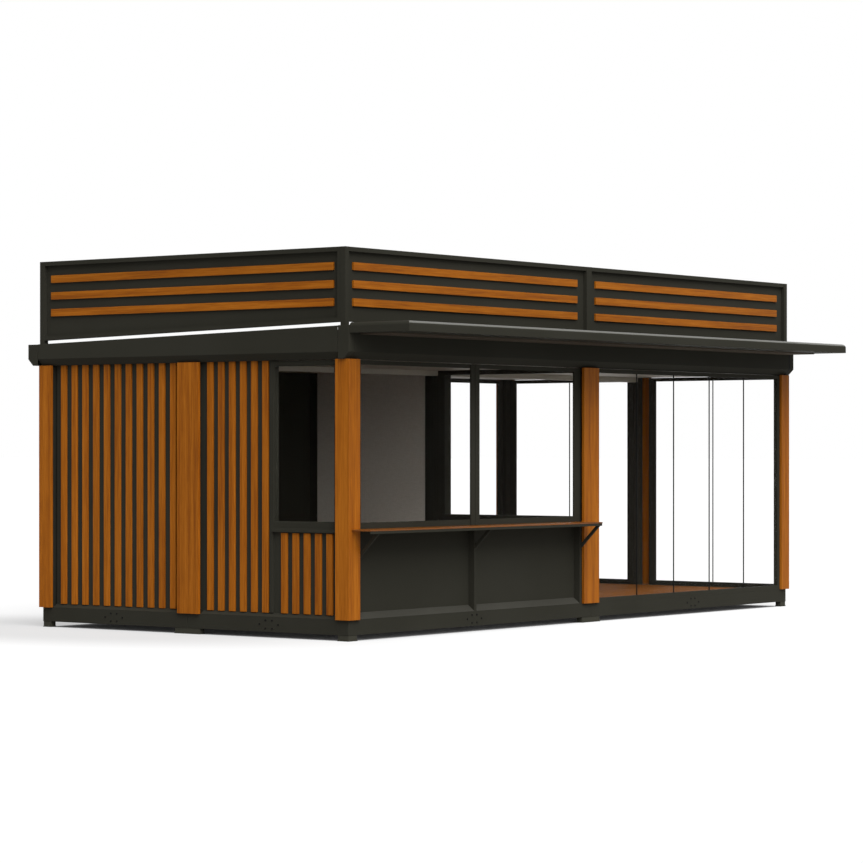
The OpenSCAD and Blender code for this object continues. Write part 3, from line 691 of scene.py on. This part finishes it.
def seenDirectly(tree):
    # 1 for what the camera sees, also in a reflection or through glass, and 0 for light
    # that falls on the pavilion
    rays = addNode(tree, "ShaderNodeLightPath")
    seen = addNode(tree, "ShaderNodeMath",
                   {0: rays.outputs["Is Camera Ray"], 1: rays.outputs["Is Glossy Ray"]},
                   operation="MAXIMUM")
    seen = addNode(tree, "ShaderNodeMath",
                   {0: seen.outputs[0], 1: rays.outputs["Is Transmission Ray"]},
                   operation="MAXIMUM")
    return seen.outputs[0]


# The ground glows white in the open and dims where the pavilion stands within openReach
# metres of it, and a soft shadow lies before the left wall
groundLook = {"half": 400, "openReach": 2.6, "openFrom": 0.02, "openTo": 0.45, "glow": 0.77,
              "floorGlow": 0.012, "shade": 0.33, "bounce": 0.40,
              "patchCentre": (-4.2, 1.2, 0), "patchReach": (2.6, 4.5, 1), "patchCore": 0.3,
              "patch": 0.33}


def groundPlane():
    half = groundLook["half"]
    mesh = bpy.data.meshes.new("ground")
    mesh.from_pydata([(-half, -half, 0), (half, -half, 0), (half, half, 0), (-half, half, 0)],
                     [], [(0, 1, 2, 3)])
    ground = bpy.data.objects.new("ground", mesh)
    bpy.context.collection.objects.link(ground)
    material, tree, output = newMaterial("paleGround")
    bounce, shade = groundLook["bounce"], groundLook["shade"]
    plain = addNode(tree, "ShaderNodeBsdfDiffuse", {"Color": (bounce, bounce, bounce, 1)})
    shaded = addNode(tree, "ShaderNodeBsdfDiffuse", {"Color": (shade, shade, shade, 1)})
    opening = addNode(tree, "ShaderNodeAmbientOcclusion", {"Distance": groundLook["openReach"]},
                      samples=8)
    level = addNode(tree, "ShaderNodeMapRange",
                    {"Value": opening.outputs["AO"], "From Min": groundLook["openFrom"],
                     "From Max": groundLook["openTo"], "To Min": groundLook["floorGlow"],
                     "To Max": groundLook["glow"]})
    place = addNode(tree, "ShaderNodeTexCoord").outputs["Object"]
    place = addNode(tree, "ShaderNodeVectorMath", {0: place, 1: groundLook["patchCentre"]},
                    operation="SUBTRACT").outputs[0]
    place = addNode(tree, "ShaderNodeVectorMath", {0: place, 1: groundLook["patchReach"]},
                    operation="DIVIDE").outputs[0]
    away = addNode(tree, "ShaderNodeVectorMath", {0: place}, operation="LENGTH")
    patch = addNode(tree, "ShaderNodeMapRange",
                    {"Value": away.outputs["Value"], "From Min": 1.0,
                     "From Max": groundLook["patchCore"], "To Min": 1.0,
                     "To Max": 1 - groundLook["patch"]}, interpolation_type="SMOOTHSTEP")
    level = addNode(tree, "ShaderNodeMath", {0: level.outputs[0], 1: patch.outputs[0]},
                    operation="MULTIPLY")
    glow = addNode(tree, "ShaderNodeEmission",
                   {"Color": (1, 1, 1, 1), "Strength": level.outputs[0]})
    both = addNode(tree, "ShaderNodeAddShader", {0: shaded.outputs[0], 1: glow.outputs[0]})
    mixed = addNode(tree, "ShaderNodeMixShader",
                    {0: seenDirectly(tree), 1: plain.outputs[0], 2: both.outputs[0]})
    tree.links.new(mixed.outputs[0], output.inputs["Surface"])
    mesh.materials.append(material)


skyLook = {"light": 0.10, "seen": 1.0}


def paleSky():
    # A white background that lights the pavilion only weakly
    world = bpy.data.worlds.new("paleStudio")
    bpy.context.scene.world = world
    world.use_nodes = True
    tree = world.node_tree
    tree.nodes.clear()
    output = addNode(tree, "ShaderNodeOutputWorld")
    dim = addNode(tree, "ShaderNodeBackground",
                  {"Color": (1, 1, 1, 1), "Strength": skyLook["light"]})
    white = addNode(tree, "ShaderNodeBackground",
                    {"Color": (1, 1, 1, 1), "Strength": skyLook["seen"]})
    mixed = addNode(tree, "ShaderNodeMixShader",
                    {0: seenDirectly(tree), 1: dim.outputs[0], 2: white.outputs[0]})
    tree.links.new(mixed.outputs[0], output.inputs["Surface"])


# Where each soft sun shines to, how many degrees wide it is, and how strong
suns = {
    "keySun": {"towards": (0.332, 0.564, -0.758), "spread": 52, "strength": 2.90},
    "lowSun": {"towards": (0.621, 0.740, -0.259), "spread": 30, "strength": 0.54},
}


def softSun(name, look):
    data = bpy.data.lights.new(name, "SUN")
    data.angle = math.radians(look["spread"])
    data.energy = look["strength"]
    lamp = bpy.data.objects.new(name, data)
    bpy.context.collection.objects.link(lamp)
    lamp.rotation_euler = Vector(look["towards"]).to_track_quat("-Z", "Y").to_euler()


view = {"place": (-25.744, -19.446, 1.790), "turn": -52.837, "sensor": 36, "lens": 125.55,
        "shiftX": -0.0006, "shiftY": 0.0200, "reach": 1000}


def levelCamera():
    data = bpy.data.cameras.new("camera")
    data.sensor_width = view["sensor"]
    data.lens = view["lens"]
    data.shift_x = view["shiftX"]
    data.shift_y = view["shiftY"]
    data.clip_end = view["reach"]
    camera = bpy.data.objects.new("camera", data)
    bpy.context.collection.objects.link(camera)
    camera.location = view["place"]
    camera.rotation_euler = (math.radians(90), 0, math.radians(view["turn"]))
    bpy.context.scene.camera = camera


groundPlane()
paleSky()
for name, look in suns.items():
    softSun(name, look)
levelCamera()
bpy.context.scene.view_settings.view_transform = "Standard"
print("stage, light and camera done")
